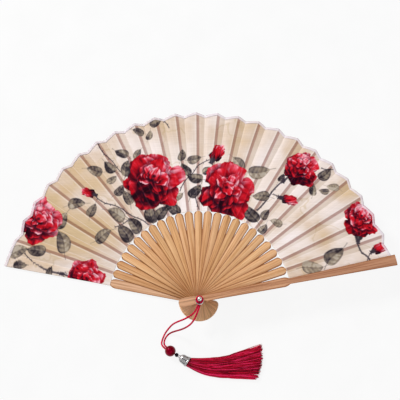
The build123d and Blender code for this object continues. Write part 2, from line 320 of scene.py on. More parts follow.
def wood(name, angle, shade, widths, tones, head_tone_and_painted_light, pivot_painted_shade, blade_depth=0.0, lift=(1.0, 1.0, 1.0)):
    """Wood with its grain along a stick, and scorched edges that painted shade darkens further.

    It deepens with painted shade towards the pivot and browns by blade_depth past the shoulder. Its side
    faces get painted shade, and its heads past the pivot a painted light.
    """
    light, middle, dark, scorch_and_shade = tones
    n = surface(name, Specular_IOR_Level=0.3)
    shift = (0.31 * math.sin(angle), 0.17 * math.cos(3 * angle), 0.0)
    fine = n.noise(n.coordinates(angle, (18, 1100, 500), shift), detail=5.0, roughness=0.65)
    broad = n.noise(n.coordinates(angle, (6, 210, 90), shift), detail=2.0)
    pores = n.noise(n.coordinates(angle, (80, 2600, 900), shift), detail=1.0)
    along, sideways, _ = n.split(n.coordinates(angle))

    # A ramp holds values up to 1, so the half width goes through it in centimetres.
    start = widths[0][0]
    end = widths[-1][0]
    stops = [((at - start) / (end - start), grey(width / 10)) for at, width in widths]
    half_width = n.ramp(n.span(along, start * MM, end * MM), stops)
    across = n.math("DIVIDE", n.math("ABSOLUTE", sideways), n.math("MULTIPLY", half_width, 10 * MM))
    # Scorched edges, darkened further as painted contact shade where one stick lies on the next.
    edge = n.span(n.math("ADD", across, n.span(broad, 0.3, 0.7, -0.04, 0.04)), 0.72, 0.96)
    # Painted shade: faces turned away from the top, the sticks' sides, take the scorched tone.
    normal = n.split(n.add("ShaderNodeNewGeometry").outputs["Normal"])
    side = n.span(normal["Z"], 0.85, 0.5, 0.0, 0.5)
    # Painted light: past the pivot the heads turn to their lighter tone.
    head = n.span(along, *INTO_HEAD, 0.0, 0.8)
    body = n.math("SUBTRACT", 1.0, head)
    streak = tuple(0.58 * value for value in head_tone_and_painted_light[:3]) + (1.0,)

    colour = n.ramp(n.mix(0.35, fine, broad), [(0.36, dark), (0.47, middle), (0.60, light)])
    for factor, tone in (
        (n.span(pores, 0.60, 0.70, 0.0, 0.45), dark),
        # Painted shade towards the pivot.
        (n.span(along, *TOWARDS_PIVOT, 0.0, pivot_painted_shade), dark),
        (n.span(along, *PAST_SHOULDER, 0.0, blade_depth), SHOULDER_BROWN),
        (head, n.ramp(fine, [(0.36, streak), (0.56, head_tone_and_painted_light)])),
        (n.math("MULTIPLY", edge, body), scorch_and_shade),
        (n.math("MULTIPLY", side, body), scorch_and_shade),
    ):
        colour = n.mix(factor, colour, tone)
    lifted = tuple(a * b for a, b in zip(shade, lift)) + (1.0,)
    n.into(n.mix(1.0, colour, lifted, "MULTIPLY"), "Base Color")
    n.into(n.span(fine, 0.3, 0.7, 0.52, 0.36), "Roughness")
    n.bump(fine, 0.35, 0.00012)
    return n.owner


def bright_steel():
    n = surface("bright_steel", Metallic=1.0)
    patina = n.noise(n.coordinates(), 500.0, 3.0)
    scratch = n.noise(n.coordinates(scale=(300, 4000, 900)), 1.0, 2.0)
    n.into(n.ramp(patina, [(0.3, rgb(190, 188, 188)), (0.62, rgb(232, 230, 228))]), "Base Color")
    n.into(n.span(scratch, 0.35, 0.7, 0.12, 0.26), "Roughness")
    n.bump(scratch, 0.08, 0.00005)
    return n.owner


def aged_silver():
    """Cast silver: bright raised parts and dark grooves, from the mesh's own groove values."""
    n = surface("aged_silver", Metallic=0.85)
    groove = n.attribute("groove")
    patina = n.noise(n.coordinates(), 900.0, 3.0)
    bright = n.ramp(patina, [(0.3, rgb(166, 164, 164)), (0.7, rgb(206, 204, 204))])
    n.into(n.mix(groove, bright, rgb(52, 50, 54)), "Base Color")
    n.into(n.span(groove, 0.0, 1.0, 0.42, 0.6), "Roughness")
    n.bump(patina, 0.2, 0.0001)
    return n.owner


def cord_silk():
    """Satin cord: fine twisted strands along the tube."""
    n = surface("cord_silk", Roughness=0.5, Sheen_Weight=0.02, Sheen_Roughness=0.4, Specular_IOR_Level=0.05)
    n.shader.inputs["Sheen Tint"].default_value = rgb(255, 90, 150)
    strands = n.noise(n.coordinates(scale=(900, 900, 900)), 1.0, 4.0)
    n.into(n.ramp(strands, [(0.34, rgb(140, 0, 34)), (0.6, rgb(206, 0, 62))]), "Base Color")
    n.bump(strands, 0.4, 0.0002)
    return n.owner


def tassel_silk():
    """Silk threads: each thread has its own tone from the mesh's thread values, with painted shade in them:
    threads low in the brush darker, those on top lighter and pinker.
    """
    n = surface("tassel_silk", Roughness=0.4, Sheen_Weight=0.06, Sheen_Roughness=0.35)
    n.shader.inputs["Specular IOR Level"].default_value = 0.12
    n.shader.inputs["Sheen Tint"].default_value = rgb(255, 90, 160)
    fuzz = n.noise(n.coordinates(scale=(1500, 1500, 1500)), 1.0, 2.0)
    # From dark to light; the pink end is a painted highlight on the top threads.
    stops = [(0.0, rgb(70, 0, 10)), (0.35, rgb(152, 0, 30)), (0.65, rgb(202, 6, 52))]
    stops.append((1.0, rgb(232, 46, 104)))
    shade = n.ramp(n.attribute("thread"), stops)
    n.into(n.mix(n.span(fuzz, 0.3, 0.7, 0.0, 0.3), shade, rgb(104, 0, 22)), "Base Color")
    n.bump(fuzz, 0.3, 0.0001)
    return n.owner


def glass_bead(name, deep, glow):
    n = surface(name, Roughness=0.16, Specular_IOR_Level=0.25, Coat_Weight=0.05, Coat_Roughness=0.05)
    n.shader.inputs["Specular Tint"].default_value = tuple(min(1.0, 3.0 * value) for value in glow)
    swirl = n.noise(n.coordinates(turn=25.0, scale=(140, 420, 300)), 1.0, 3.0, distortion=1.2)
    n.into(n.ramp(swirl, [(0.38, deep), (0.7, glow)]), "Base Color")
    return n.owner


def printed_silk(name, roughness):
    """Thin silk: the printed colours are on the mesh, the weave comes from here."""
    n = surface(name, Sheen_Weight=0.02, Sheen_Roughness=0.5, Specular_IOR_Level=0.04)
    place = n.coordinates(scale=(700, 700, 700), source="UV")
    weave = []
    for direction in ("X", "Y"):
        bands = {"Vector": place, "Scale": 1.0, "Distortion": 0.6}
        weave.append(n.add("ShaderNodeTexWave", bands, bands_direction=direction).outputs["Fac"])
    cross = n.mix(0.5, weave[0], weave[1])
    slub = n.noise(n.coordinates(scale=(60, 1300, 1), source="UV"), 1.0, 2.0)
    shade = n.ramp(slub, [(0.3, rgb(244, 242, 240)), (0.7, rgb(255, 255, 255))])
    n.into(n.mix(1.0, n.attribute("paint", "Color"), shade, "MULTIPLY"), "Base Color")
    n.into(n.span(slub, 0.3, 0.7, roughness - 0.06, roughness + 0.06), "Roughness")
    n.bump(cross, 0.12, 0.00006)
    return n.owner


# ---- the print on the silk ----
LATTICE = np.random.default_rng(11).random((256, 256))


def value_noise(x, y):
    """Smooth random values from 0 to 1, about one unit apart."""
    xi = np.floor(x).astype(int)
    yi = np.floor(y).astype(int)
    fx = x - xi
    fy = y - yi
    fx = fx * fx * (3 - 2 * fx)
    fy = fy * fy * (3 - 2 * fy)
    a, b, c, d = (LATTICE[(xi + right) % 256, (yi + up) % 256] for up in (0, 1) for right in (0, 1))
    return (a * (1 - fx) + b * fx) * (1 - fy) + (c * (1 - fx) + d * fx) * fy


def cloud(x, y, octaves=4):
    """Noise in which each finer layer weighs half of the last."""
    total = np.zeros_like(x)
    weight = 0.5
    for octave in range(octaves):
        total += weight * value_noise(x * 2**octave + 17 * octave, y * 2**octave + 5 * octave)
        weight *= 0.5
    return total / (1 - 0.5**octaves)


def tint(tone, stops):
    """Colours for tones. Each stop is a tone and its red, green and blue in 0 to 255 steps."""
    stops = np.array(stops, float)
    return np.stack([np.interp(tone, stops[:, 0], stops[:, i] / 255) for i in (1, 2, 3)], axis=-1)


# The ground goes from pale to straw. Foliage and roses go from dark to light.
GROUND = [
    (0.0, 242, 231, 230), (0.30, 232, 217, 208), (0.50, 221, 200, 182), (0.75, 215, 189, 157),
    (1.0, 210, 184, 147),
]
FOLIAGE = [
    (0.0, 30, 25, 34), (0.3, 78, 69, 70), (0.6, 120, 108, 96), (0.85, 146, 132, 114),
    (1.0, 176, 165, 150),
]
ROSE_RED = [
    (0.0, 30, 0, 14), (0.18, 82, 0, 18), (0.34, 146, 4, 24), (0.50, 188, 10, 28), (0.68, 206, 26, 42),
    (0.84, 216, 62, 82), (0.96, 226, 110, 130), (1.15, 240, 176, 188),
]
STAIN = np.array([0.74, 0.64, 0.47])
STEM = np.array([0.23, 0.20, 0.24])
SHADOW = np.array([0.13, 0.0, 0.08])
LIGHT_FROM = (0.57, 0.82)

# Painted shade that the pleats put on the print's colours, over a stick seen through the silk and on the
# short facet; and the pale of a painted highlight along the folds, also used for the pale inner edge.
STRIP_SHADE = np.array([0.17, 0.27, 0.29])
FACET_SHADE = np.array([0.02, 0.035, 0.06])
HIGHLIGHT_AND_EDGE_GROUND = np.array([0.95, 0.92, 0.90])
HIGHLIGHT_AND_EDGE_PAINT = np.array([0.93, 0.88, 0.88])

# Straw-coloured washes: direction, radius, how far they reach in both, and strength.
WASHES = [
    (149, 160, 15, 38, 1.0), (158, 134, 8, 24, 0.75), (133, 178, 10, 13, 0.7),
    (100, 178, 10, 13, 0.6), (72, 173, 12, 16, 0.7), (37, 172, 8, 14, 0.75),
    (35, 127, 7, 15, 0.6), (18, 102, 8, 18, 0.55), (128, 106, 6, 16, 0.35),
]

# Roses: direction, radius, size, turn of the petals, how far the heart lies off the middle, paleness.
ROSES = [
    (112, 125, 29.0, 20, 0.16, 0.02),
    (77, 110, 27.5, 75, 0.10, 0.04),
    (155, 174, 23.0, 140, 0.12, 0.17),
    (170, 110, 18.5, 10, 0.05, -0.02),
    (53, 162, 18.5, 250, 0.28, -0.02),
    (27, 174, 18.5, 330, 0.25, 0.02),
]

# Buds: direction, radius, length, and the way the bud points.
BUDS = [
    (137, 151, 8.0, 165),
    (84, 146, 11.0, 60),
    (49, 130, 9.5, 345),
    (17, 179, 9.0, 25),
]

# Thorny stems: half width, and a few places by direction and radius.
STEMS = [
    (0.42, [(124, 185), (124, 170), (123, 154), (121, 140)]),
    (0.48, [(136, 145), (135, 131), (131, 115), (128, 100), (125, 88)]),
    (0.42, [(166, 174), (169, 156)]),
    (0.80, [(169, 156), (170, 138), (171, 124)]),
    (0.42, [(86, 139), (92, 131), (96, 121), (101, 108)]),
    (0.70, [(58, 103), (57, 126), (55, 148)]),
    (0.48, [(50, 126), (56, 125)]),
    (0.75, [(23, 161), (17, 161), (14, 166)]),
    (0.42, [(107, 189), (103, 185), (101, 174)]),
    (0.42, [(17, 172), (14, 163)]),
    (0.42, [(140, 108), (133, 104)]),
    (0.42, [(48, 176), (45, 184)]),
    (0.42, [(93, 104), (91, 88)]),
]

# Dark sepals under a rose: direction, radius, length and the way they point.
CALYXES = [
    (56, 149, 8.0, 65),
    (23.6, 165, 8.5, 85),
    (170, 127, 8.0, 350),
]

# Leaves: direction, radius, length, the way the leaf points, and how dark it is from 0 to 1.
LEAVES = [
    (111, 178, 12, 170, 0.5), (108, 171, 10, 80, 0.4), (105, 182, 12, 20, 0.7), (119, 164, 14, 150, 0.8),
    (114, 156, 12, 60, 0.3), (125, 158, 15, 140, 0.7), (130, 164, 16, 175, 0.4), (127, 146, 11, 45, 0.4),
    (127, 133, 13, 50, 0.6), (126, 122, 15, 110, 0.75), (120, 148, 16, 75, 0.7), (143, 152, 17, 10, 0.5),
    (141, 136, 14, 75, 0.35), (135, 116, 19, 160, 0.45), (132, 96, 18, 130, 0.75), (139, 97, 20, 115, 0.8),
    (147, 112, 18, 30, 0.4), (120, 96, 19, 100, 0.85), (114, 92, 17, 60, 0.95), (107, 92, 17, 160, 0.85),
    (98, 144, 12, 85, 0.5), (93, 139, 14, 10, 0.3), (97, 129, 14, 115, 0.75), (93, 120, 16, 160, 0.75),
    (87, 127, 12, 30, 0.5), (93, 106, 16, 60, 0.75), (75, 139, 17, 130, 0.2), (66, 139, 21, 5, 0.45),
    (60, 117, 16, 170, 0.5), (60, 97, 20, 120, 0.95), (53, 104, 12, 60, 0.5), (46, 105, 12, 170, 0.35),
    (49, 91, 12, 60, 0.6), (46, 174, 16, 40, 0.6), (41, 170, 12, 160, 0.2), (45, 154, 12, 75, 0.5),
    (42, 161, 10, 170, 0.2), (19, 135, 22, 50, 0.6), (17, 111, 20, 10, 0.15), (158, 144, 22, 110, 0.5),
    (151, 155, 18, 50, 0.45), (164, 164, 18, 165, 0.55), (166, 180, 18, 20, 0.35), (170, 175, 13, 10, 0.7),
    (103, 103, 13, 40, 0.35), (57, 144, 9, 60, 0.95), (23, 164, 10, 100, 0.95), (170, 146, 10, 60, 0.9),
]


def paint(canvas, where, colour, alpha):
    canvas[where] += (colour - canvas[where]) * alpha[:, None]


def local_frame(x, y, angle, radius, size, turn):
    """Points near a motif, and their places in the motif's own turned and scaled frame."""
    centre = polar(angle, radius * MM)
    dx = (x - centre.x) / (size * MM)
    dy = (y - centre.y) / (size * MM)
    where = np.nonzero(dx * dx + dy * dy < 2.6)[0]
    c = math.cos(math.radians(turn))
    s = math.sin(math.radians(turn))
    return where, dx[where] * c + dy[where] * s, dy[where] * c - dx[where] * s


def paint_leaf(canvas, x, y, leaf, seed):
    """A veined leaf: one half darker, a pale midrib, and a soft dark edge."""
    angle, radius, length, turn, depth = leaf
    where, u, v = local_frame(x, y, angle, radius, length / 2, turn)
    if not len(where):
        return
    mottle = cloud(u * 1.6 + seed, v * 1.6 + 3.1 * seed, 3) - 0.5
    v = v + 0.14 * np.sin(1.8 * u + seed)
    oval = np.sqrt(np.clip(1 - u * u, 0, 1))
    breadth = 0.60 * oval * (1 - 0.34 * u) * (1 - 0.3 * ease(0.5, 1.0, u))
    inside = ease(0.07, -0.05, np.abs(v) - breadth - 0.05 * mottle)
    side = ease(-0.08, 0.08, v * (1 if seed % 2 else -1)) - 0.5
    across = np.abs(v) / np.maximum(breadth, 0.05)
    veins = np.sin(15 * (u - 0.55 * np.abs(v)) + seed) * (1.5 if length > 15 else 1.0)
    tone = 0.93 - 0.74 * depth - 0.30 * side + 1.5 * mottle + 0.075 * veins
    tone = tone - 0.36 * ease(0.70, 1.0, across) - 0.25 * ease(0.10, 0.03, np.abs(v))
    paint(canvas, where, tint(tone, FOLIAGE), inside * (0.82 + 0.12 * depth))


def paint_stem(canvas, x, y, stem):
    """A thin stem in straight stretches, each a little bowed, with thorns on alternate sides."""
    width = stem[0] * MM
    spots = [polar(angle, radius * MM) for angle, radius in stem[1]]
    for step, (a, b) in enumerate(zip(spots, spots[1:])):
        ab = b - a
        length = ab.length
        along = ((x - a.x) * ab.x + (y - a.y) * ab.y) / length
        across = ((y - a.y) * ab.x - (x - a.x) * ab.y) / length
        across = across - 0.9 * MM * np.sin(along / length * math.pi) * (1 if step % 2 else -1)
        beside = (along > -width) & (along < length + width)
        line = ease(width * 1.6, width * 0.5, np.abs(across)) * beside
        place = along / (4.3 * MM)
        phase = place % 1.0
        toward = across * np.where(np.floor(place) % 2 == 0, 1.0, -1.0)
        reach = 2.1 * MM * np.clip(1 - phase * 3.2, 0, 1)
        thorn = (toward > 0) & (toward < reach) & (along > 0) & (along < length)
        alpha = np.maximum(line * 0.85, thorn * 0.7)
        where = np.nonzero(alpha > 0)[0]
        paint(canvas, where, STEM, alpha[where])


def paint_petal(canvas, cover, where, u, v, petal, seed):
    """One petal: a ruffled lobe, streaked from its foot and lit from one side, over its own plum shadow."""
    direction, distance, breadth, reach, lift, rim = petal
    c = math.cos(direction)
    s = math.sin(direction)
    # p runs outward along the petal, q across it, and f is 1 at its ruffled rim.
    p = (u * c + v * s - distance) / reach
    q = (v * c - u * s) / breadth
    bearing = np.arctan2(q, p)
    ruffle = 0.50 * (cloud(p * 1.9 + 2.1 * seed, q * 1.9 + 0.7 * seed, 3) - 0.5)
    f = np.sqrt(p * p + q * q) + ruffle + 0.06 * np.sin(5 * bearing + seed)
    lit = ((u - distance * c) * LIGHT_FROM[0] + (v - distance * s) * LIGHT_FROM[1]) / max(breadth, reach)
    under = ease(0.35, -0.75, lit)
    paint(canvas, where, SHADOW, ease(1.50, 1.0, f) * cover * (0.18 + 0.52 * under))
    streak = cloud(q * 4.6 + seed * 3.3, p * 1.1 + seed, 4) - 0.5
    patch = cloud(q * 1.3 + seed, p * 1.3 - seed, 2) - 0.5
    hollow = ease(0.0, -0.95, p)
    tone = 0.60 + lift + 0.16 * lit + 0.85 * streak + 0.85 * patch - 0.42 * hollow
    roll = ease(0.74, 0.86, f) * ease(-0.30, 0.30, p) * rim
    tone = tone + roll * (0.25 + 0.9 * patch)
    tone = tone - 0.20 * ease(0.90, 1.0, f) * (1 - roll)
    inside = ease(1.01, 0.96, f)
    paint(canvas, where, tint(tone, ROSE_RED), inside)
    np.maximum(cover, inside, out=cover)


# Rings of petals from the outside in: count, distance from the heart, breadth, reach, lightness, rim light.
PETAL_RINGS = [
    (6, 0.61, 0.44, 0.42, 0.00, 0.1),
    (5, 0.47, 0.44, 0.40, -0.02, 0.5),
    (5, 0.33, 0.36, 0.36, 0.03, 0.8),
    (4, 0.20, 0.26, 0.32, 0.06, 1.0),
    (3, 0.08, 0.16, 0.22, 0.03, 1.0),
]


def paint_rose(canvas, x, y, rose, seed):
    angle, radius, size, turn, off, pale = rose
    where, u, v = local_frame(x, y, angle, radius, size, 0.0)
    if not len(where):
        return
    chance = np.random.default_rng(seed)
    cover = np.zeros(len(where))
    start = math.radians(turn)
    for ring, (count, distance, breadth, reach, light, rim) in enumerate(PETAL_RINGS):
        start += 1.1
        inward = ring / (len(PETAL_RINGS) - 1)
        for number in chance.permutation(count):
            direction = start + 2 * math.pi * (number + chance.uniform(-0.32, 0.32)) / count
            facing = 0.12 * math.cos(direction - math.radians(55))
            petal = (
                direction,
                distance * chance.uniform(0.78, 1.12),
                breadth * chance.uniform(0.70, 1.20),
                reach * chance.uniform(0.80, 1.22),
                light + facing + pale + chance.uniform(-0.20, 0.14),
                rim * chance.uniform(0.2, 1.1),
            )
            paint_petal(canvas, cover, where, u, v - off * inward, petal, seed + 10 * count + number)
    heart = ease(0.09, 0.02, np.hypot(u * 0.8, v - off))
    paint(canvas, where, SHADOW, heart * 0.8)


# A bud's petals: direction in radians, and then as in paint_petal.
BUD_PETALS = [
    (0.42, 0.02, 0.46, 0.80, -0.2, 0.2),
    (-0.42, 0.02, 0.46, 0.80, 0.05, 0.4),
    (-0.12, 0.12, 0.34, 0.86, 0.15, 1.0),
    (0.30, 0.05, 0.26, 0.74, -0.05, 0.6),
]


def paint_bud(canvas, x, y, bud, seed):
    where, u, v = local_frame(x, y, *bud)
    if not len(where):
        return
    cover = np.zeros(len(where))
    for petal in BUD_PETALS:
        paint_petal(canvas, cover, where, u, v, petal, seed)
    paint_sepals(canvas, where, u, v)


def paint_sepals(canvas, where, u, v):
    """A dark hip with four narrow sepals spreading from it."""
    for spread in (-0.75, -0.2, 0.35, 0.8):
        foot = u + 0.95
        side = v - spread * foot * 0.8
        sepal = ease(0.15, 0.07, np.abs(side) + 0.16 * np.clip(foot, 0, 2))
        paint(canvas, where, STEM, sepal * (foot > -0.25) * (foot < 0.85) * 0.85)
    hip = ease(1.1, 0.8, np.hypot((u + 0.85) / 0.26, v / 0.24))
    paint(canvas, where, STEM, hip * 0.9)


def wash(x, y):
    """The silk's ground: pinkish white, with straw washes and soft stained edges."""
    angle = np.degrees(np.arctan2(y, x))
    radius = np.hypot(x, y) / MM
    xm = x / MM
    ym = y / MM
    warm = cloud(xm / 30, ym / 30, 4)
    pale = cloud(xm / 24 + 40, ym / 24 + 8, 4)
    straw = np.zeros_like(x)
    for at_angle, at_radius, wide, deep, strength in WASHES:
        reach = ((angle - at_angle) / wide) ** 2 + ((radius - at_radius) / deep) ** 2
        straw = np.maximum(straw, strength * np.exp(-0.6 * reach))
    tone = 0.16 + 0.75 * straw * (0.35 + 1.2 * warm) + 0.7 * (warm - 0.5) - 0.55 * (pale - 0.5)
    colour = tint(tone, GROUND)
    edge = ease(0.020, 0.004, np.abs(warm - 0.57)) * ease(0.46, 0.60, pale)
    colour = colour + (STAIN - colour) * (0.32 * edge)[:, None]
    thread = value_noise(angle * 5.5, radius * 0.02) + 0.6 * value_noise(angle * 13.0, radius * 0.03 + 7)
    return colour * (0.985 + 0.03 * (thread - 0.8))[:, None]


def paint_print(x, y, on_strip, crease, facet):
    """Colours of the silk, with painted shade and highlights. on_strip is 1 over a stick, which gets
    painted shade; crease is 1 on a fold's painted highlight and on the pale inner edge; facet is 1 on a
    pleat's facet with painted shade.
    """
    canvas = wash(x, y)
    # Painted shade on the short facet of each pleat.
    canvas *= 1 - facet[:, None] * FACET_SHADE
    # Painted shade over each stick, where it shows through the silk.
    canvas *= 1 - on_strip[:, None] * STRIP_SHADE
    # Painted highlight along the folds, and the pale inner edge.
    canvas += (HIGHLIGHT_AND_EDGE_GROUND - canvas) * (crease * 0.4)[:, None]
    for stem in STEMS:
        paint_stem(canvas, x, y, stem)
    for seed, leaf in enumerate(LEAVES):
        paint_leaf(canvas, x, y, leaf, seed)
    for seed, bud in enumerate(BUDS):
        paint_bud(canvas, x, y, bud, 60 + seed)
    for seed, rose in enumerate(ROSES):
        paint_rose(canvas, x, y, rose, 80 + seed)
    for calyx in CALYXES:
        paint_sepals(canvas, *local_frame(x, y, *calyx))
    # A little more painted shade over the sticks, over the motifs too, and the painted fold highlight.
    canvas *= 1 - on_strip[:, None] * 0.05
    canvas += (HIGHLIGHT_AND_EDGE_PAINT - canvas) * (crease * 0.10)[:, None]
    return np.clip(canvas, 0, 1)


# ---- the pleated leaf ----
def cloth_height(number):
    """Height of the cloth's lower face where it is glued to a stick."""
    if number == 0:
        return REAR_SEAT_HEIGHT + CLOTH_LIFT
    if number == FRONT:
        return FRONT_CLOTH_HEIGHT + CLOTH_LIFT
    return FIRST_STRIP_TOP + (number - 1) * STACK_PITCH + CLOTH_LIFT


def stick_half_width(number, radius):
    """Half the width of what the cloth is glued to: a rib's strip, or a guard's blade."""
    if 0 < number < FRONT:
        return np.full_like(radius, STRIP_HALF_WIDTH)
    tip = FRONT_BLADE_TIP_AT if number else REAR_BLADE_TIP_AT
    share = (radius - BLADE_NOTCH_AT) / (tip - BLADE_NOTCH_AT)
    return BLADE_NOTCH_HALF_WIDTH + share * (BLADE_TIP_HALF_WIDTH - BLADE_NOTCH_HALF_WIDTH)


def section_turn(number):
    """Turn from one stick's centre line to the next."""
    return math.radians(stick_angle(number - 1) - stick_angle(number))


# A section's zones: over its first stick, the short facet down to the valley, the long facet up, and over
# its second stick. The first section has one more zone before them, and the last one more after them.
def breakpoints(number, radius):
    """Where the folds of one section cross this radius, as arc lengths from its first stick."""
    whole = radius * section_turn(number)
    marks = [
        np.zeros_like(radius),
        stick_half_width(number - 1, radius),
        radius * VALLEY_TURN,
        whole - stick_half_width(number, radius),
        whole,
    ]
    if number == 1:
        marks.insert(0, -radius * REAR_EDGE_TURN)
    if number == FRONT:
        marks.append(whole + radius * FRONT_EDGE_TURN)
    return marks


def zone_steps(number):
    """How many steps the grid takes in each zone."""
    return [6] * (number == 1) + [4, 12, 26, 4] + [2] * (number == FRONT)


def outer_radius(number, turn):
    """Outer edge of the leaf at a turn from the section's first stick: peaks and valleys."""
    whole = section_turn(number)
    crest = -STRIP_HALF_WIDTH / PEAK_RADIUS
    valley = VALLEY_TURN
    turns = [valley - whole, crest, valley, whole + crest, whole + valley]
    radii = [VALLEY_RADIUS, PEAK_RADIUS] * 2 + [VALLEY_RADIUS]
    if number == 1:
        turns[0] = -REAR_EDGE_TURN
        radii[:3] = np.interp(turns[:3], [turns[0], turns[3]], [CORNER_RADIUS, PEAK_RADIUS])
    return np.interp(turn, turns, radii)


def inner_radius(number, turn):
    """Inner edge: straight from one stick to the next."""
    half = section_turn(number) / 2
    return INNER_RADIUS * math.cos(half) / np.cos(np.clip(turn - half, -half, half))


def pleat_height(number, zone, share, radius):
    """Height of the cloth above its place on the section's first stick.

    The long facet bends so that it has done MIDDLE_RISE of its rise halfway between the sticks.
    """
    rise = cloth_height(number) - cloth_height(number - 1)
    outward = (radius - PLEAT_START_RADIUS) / (PEAK_RADIUS - PLEAT_START_RADIUS)
    depth = PLEAT_DEPTH * np.clip(outward, 0, 1)
    whole = radius * section_turn(number)
    valley_at = radius * VALLEY_TURN
    crest_at = whole - stick_half_width(number, radius)
    middle = (whole / 2 - valley_at) / (crest_at - valley_at)
    target = (MIDDLE_RISE * rise + depth) / (rise + depth)
    left = np.clip(1 - (target - STRAIGHT_SHARE * middle) / (1 - STRAIGHT_SHARE), 0.05, 0.98)
    power = np.maximum(1.0, np.log(left) / np.log(1 - middle))
    curve = (1 - STRAIGHT_SHARE) * (1 - (1 - share) ** power) + STRAIGHT_SHARE * share
    zone -= number == 1
    if zone < 1:
        return np.zeros_like(radius)
    if zone == 1:
        return -depth * share
    if zone == 2:
        return -depth + (rise + depth) * curve
    return np.full_like(radius, rise)


def section_grid(number, rows):
    """Radius, arc, height and zone of every grid point of a section, row by row from inside out."""
    columns = [(0, 0.0)]
    for zone, steps in enumerate(zone_steps(number)):
        columns += [(zone, (step + 1) / steps) for step in range(steps)]
    grids = []
    for zone, share in columns:
        radius = INNER_RADIUS + rows * (PEAK_RADIUS - INNER_RADIUS)
        for _ in range(3):
            marks = breakpoints(number, radius)
            arc = marks[zone] + share * (marks[zone + 1] - marks[zone])
            turn = arc / radius
            inner = inner_radius(number, turn)
            radius = inner + rows * (outer_radius(number, turn) - inner)
        height = pleat_height(number, zone, share, radius)
        grids.append((radius, arc, height, np.full_like(radius, zone)))
    return [np.stack(grid, axis=1) for grid in zip(*grids)]


def set_colours(mesh, colours):
    layer = mesh.color_attributes.new("paint", "FLOAT_COLOR", "POINT")
    values = np.ones((len(colours), 4), np.float32)
    values[:, :3] = srgb_to_linear(colours)
    layer.data.foreach_set("color", values.ravel())


def set_rest_uv(mesh):
    """The printed face's flat coordinates, in metres, so that the weave moves with the cloth."""
    layer = mesh.uv_layers.new(name="weave")
    index = np.zeros(len(mesh.loops), int)
    mesh.loops.foreach_get("vertex_index", index)
    places = np.zeros(len(mesh.vertices) * 3)
    mesh.vertices.foreach_get("co", places)
    layer.data.foreach_set("uv", places.reshape(-1, 3)[index, :2].astype(np.float32).ravel())


def section_points(number, radius, arc, height):
    angle = math.radians(stick_angle(number - 1)) - arc / radius
    base = cloth_height(number - 1)
    return np.stack([radius * np.cos(angle), radius * np.sin(angle), base + height], axis=-1)


def section_paint(number, radius, arc, zone):
    """Colours of a section's grid points."""
    last_arc = np.abs(radius * section_turn(number) - arc)
    # Where a stick lies under the silk, which gets painted shade.
    strip_edge = (STRIP_HALF_WIDTH + 0.12 * MM, STRIP_HALF_WIDTH - 0.12 * MM)
    over_first = ease(*strip_edge, np.abs(arc)) * (number > 1)
    over_last = ease(*strip_edge, last_arc) * (number < FRONT)
    on_strip = np.maximum(over_first, over_last)
    valley_arc = radius * VALLEY_TURN
    # Painted highlights: on the valley fold, and a fainter one beside each stick's crest.
    crease = ease(0.45 * MM, 0.1 * MM, np.abs(arc - valley_arc))
    crest = ease(0.75 * MM, 0.45 * MM, np.abs(last_arc - CREST_ARC)) * (number < FRONT)
    # The short facet, which gets painted shade.
    facet = np.isin(zone - (number == 1), (0, 1)) * (1 - on_strip)
    selvage = ease(1.2 * MM, 0.6 * MM, radius - inner_radius(number, arc / radius))
    points = section_points(number, radius, arc, 0.0 * arc)
    lines = np.maximum(crease, np.maximum(0.8 * crest, selvage))
    grids = (points[..., 0], points[..., 1], on_strip, lines, facet)
    return paint_print(*[grid.ravel() for grid in grids])


def blend_section(obj):
    """Bakes the section's placement into its mesh."""
    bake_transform(obj)


# A hem's cross-section: the row of the cloth's edge that each point follows, how far outward and up from it
# the point lies, and the colour that covers the print there, and how much.
HEM_ROWS = np.array([0.976, 1.0])
HEM_TOP = CLOTH_THICKNESS + 0.13 * MM
HEM_BOTTOM = -0.09 * MM
BINDING = np.array([0.90, 0.865, 0.895])
RIM = np.array([0.70, 0.66, 0.73])
HEM_PROFILE = [
    (0, 0.0, CLOTH_THICKNESS + 0.04 * MM, BINDING, 0.70),
    (0, 0.35 * MM, HEM_TOP, BINDING, 0.82),
    (1, -0.5 * MM, HEM_TOP, BINDING, 0.82),
    (1, 0.12 * MM, CLOTH_THICKNESS + 0.02 * MM, RIM, 0.60),
    (1, 0.16 * MM, 0.06 * MM, RIM, 0.60),
    (1, -0.5 * MM, HEM_BOTTOM, BINDING, 0.80),
    (0, 0.35 * MM, HEM_BOTTOM, BINDING, 0.80),
    (0, 0.0, -0.02 * MM, BINDING, 0.70),
]


def make_hem(number, material):
    """A narrow binding folded over the outer edge of one section."""
    radius, arc, height, zone = section_grid(number, HEM_ROWS)
    columns = radius.shape[1]
    turn = arc / radius
    print_colours = section_paint(number, radius, arc, zone).reshape(2, columns, 3)
    points = []
    colours = []
    for row, out, up, colour, cover in HEM_PROFILE:
        edge = radius[row] + out
        places = section_points(number, edge, turn[row] * edge, height[row])
        places[:, 2] += up
        points.append(places)
        colours.append(print_colours[row] + (colour - print_colours[row]) * cover)
    points = np.stack(points, axis=1).reshape(-1, 3)
    faces = tube_faces(columns, len(HEM_PROFILE))
    obj = mesh_object(f"leaf_hem_{number:02d}", points, faces, material)
    set_colours(obj.data, np.stack(colours, axis=1).reshape(-1, 3))
    set_rest_uv(obj.data)
    blend_section(obj)
    return obj


